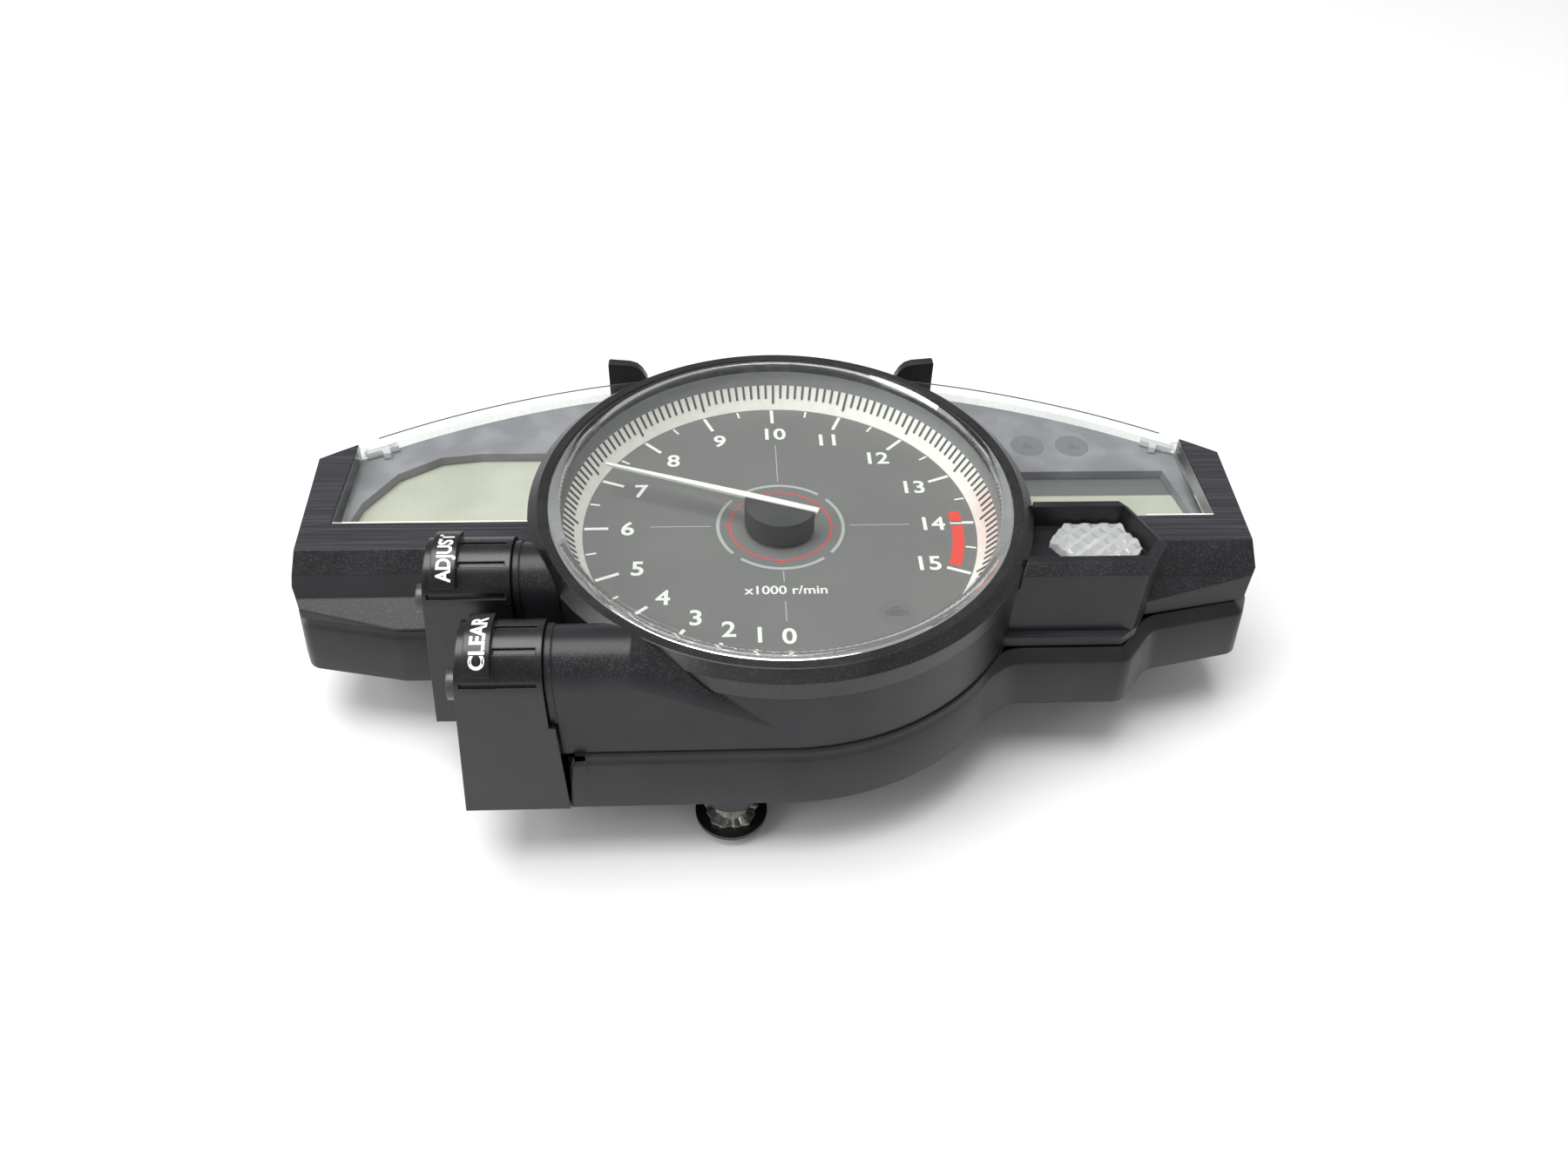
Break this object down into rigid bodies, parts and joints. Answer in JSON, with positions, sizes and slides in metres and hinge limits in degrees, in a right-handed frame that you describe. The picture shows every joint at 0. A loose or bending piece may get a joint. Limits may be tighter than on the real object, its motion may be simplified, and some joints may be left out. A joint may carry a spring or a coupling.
{
  "type": "motorcycle instrument cluster",
  "caption": "Instrument cluster for a motorcycle: round tachometer with a moving pointer, two display wings, push buttons in barrels, shift light hood and a multi-way socket",
  "frame": {"origin": "centre of the bounding box in X and Y, on the surface that the cluster rests on when it lies on its back", "axes": "+Z out of the dial, towards the rider. +X to the rider's right, along the wings. +Y to the cluster's top edge. The dial's axis is parallel to Z at x = 0, y = 0.05 mm."},
  "size_m": [0.228, 0.12, 0.0636],
  "materials": {
    "case_black": "moulded, fine matte grain",
    "cover_black": "satin black with brushed lines on the wing tops",
    "bezel_satin": "satin black paint",
    "clear": "clear moulded plastic",
    "tick_ring_ivory": "ivory plastic",
    "dial_face": "printed charcoal film",
    "light_guide": "clear light guide",
    "mask_grey": "satin grey",
    "display": "liquid crystal panel",
    "silicone": "soft silicone",
    "white_plastic": "white plastic",
    "board_green": "solder mask",
    "steel": "bright zinc plate",
    "led_resin": "pale resin",
    "chip_black": "black resin",
    "contact_metal": "plated contacts",
    "seal_rubber": "black rubber",
    "connector_rubber": "brick red silicone",
    "motor_black": "black plastic",
    "coil_copper": "enamelled copper wire",
    "core_steel": "plain steel",
    "magnet": "sintered magnet",
    "gear_acetal": "natural acetal",
    "pointer_white": "clear blade with a white upper edge",
    "cap_black": "satin black",
    "button_grey": "smoky grey, slightly translucent",
    "switch_tip": "natural plastic",
    "washer_black": "black painted steel"
  },
  "bodies": {
    "housing": {"base_case": "case_black", "switch_housing": "case_black", "housing_floor": "case_black", "front_cover": "cover_black", "bezel_ring": "bezel_satin", "tach_lens": "clear", "wing_lens_left": "clear", "wing_lens_right": "clear", "tick_ring": "tick_ring_ivory", "dial_plate": "dial_face", "dial_light_guide": "light_guide", "mask_left": "mask_grey", "mask_right": "mask_grey", "lcd_left": "display", "lcd_right": "display", "backlight_left": "light_guide", "backlight_right": "light_guide", "contact_strips": "silicone", "light_box": "white_plastic", "circuit_board": "board_green", "board_screws": "steel", "backlight_leds": "led_resin", "warning_leds": "led_resin", "shift_lens": "clear", "shift_reflector": "white_plastic", "shift_led": "led_resin", "processor": "chip_black", "capacitors": "chip_black", "connector_pins": "contact_metal", "connector_seal": "connector_rubber", "motor_tray": "motor_black", "motor_lid": "motor_black", "motor_coils": "coil_copper", "motor_cores": "core_steel", "motor_terminals": "contact_metal", "switch_bodies": "chip_black", "switch_boards": "board_green", "button_seals": "seal_rubber", "front_gasket": "seal_rubber", "rear_cover": "case_black", "rear_gasket": "seal_rubber", "rear_screws": "steel", "vent_plug": "seal_rubber", "mount_screw": "steel", "mount_washer": "washer_black", "mount_collar": "steel"},
    "pointer": {"output_gear": "gear_acetal", "output_shaft": "core_steel", "pointer_blade": "pointer_white", "pointer_cap": "cap_black"},
    "middle_gear": {"middle_gear": "gear_acetal"},
    "rotor": {"rotor_pinion": "gear_acetal", "rotor_magnet": "magnet"},
    "button_upper": {"button_upper": "button_grey"},
    "button_lower": {"button_lower": "button_grey"},
    "switch_tip_upper": {"switch_tip_upper": "switch_tip"},
    "switch_tip_lower": {"switch_tip_lower": "switch_tip"}
  },
  "joints": [
    {"name": "pointer_sweep", "type": "hinge", "parent": "housing", "child": "pointer", "pos_m": [0, 0.00005, 0.051], "axis": [0, 0, 1], "range_deg": [-182.5, 110]},
    {"name": "middle_gear_spin", "type": "hinge", "parent": "housing", "child": "middle_gear", "pos_m": [0.0108, 0.00005, 0.036], "axis": [0, 0, 1], "range_deg": [-551, 914]},
    {"name": "rotor_spin", "type": "hinge", "parent": "housing", "child": "rotor", "pos_m": [0.01455, 0.00654, 0.036], "axis": [0, 0, 1], "range_deg": [-3652, 2202]},
    {"name": "button_upper_press", "type": "slide", "parent": "housing", "child": "button_upper", "axis": [1, 0, 0], "range_m": [0, 0.0015], "stiffness_N_per_m": 800, "springref_m": -0.0005},
    {"name": "button_lower_press", "type": "slide", "parent": "housing", "child": "button_lower", "axis": [1, 0, 0], "range_m": [0, 0.0015], "stiffness_N_per_m": 800, "springref_m": -0.0005},
    {"name": "switch_tip_upper_press", "type": "slide", "parent": "housing", "child": "switch_tip_upper", "axis": [1, 0, 0], "range_m": [0, 0.0015]},
    {"name": "switch_tip_lower_press", "type": "slide", "parent": "housing", "child": "switch_tip_lower", "axis": [1, 0, 0], "range_m": [0, 0.0015]}
  ],
  "couplings": [
    {"joint": "middle_gear_spin", "follows": "pointer_sweep", "ratio": -5},
    {"joint": "rotor_spin", "follows": "pointer_sweep", "ratio": 20},
    {"joint": "switch_tip_upper_press", "follows": "button_upper_press", "ratio": 1},
    {"joint": "switch_tip_lower_press", "follows": "button_lower_press", "ratio": 1}
  ]
}
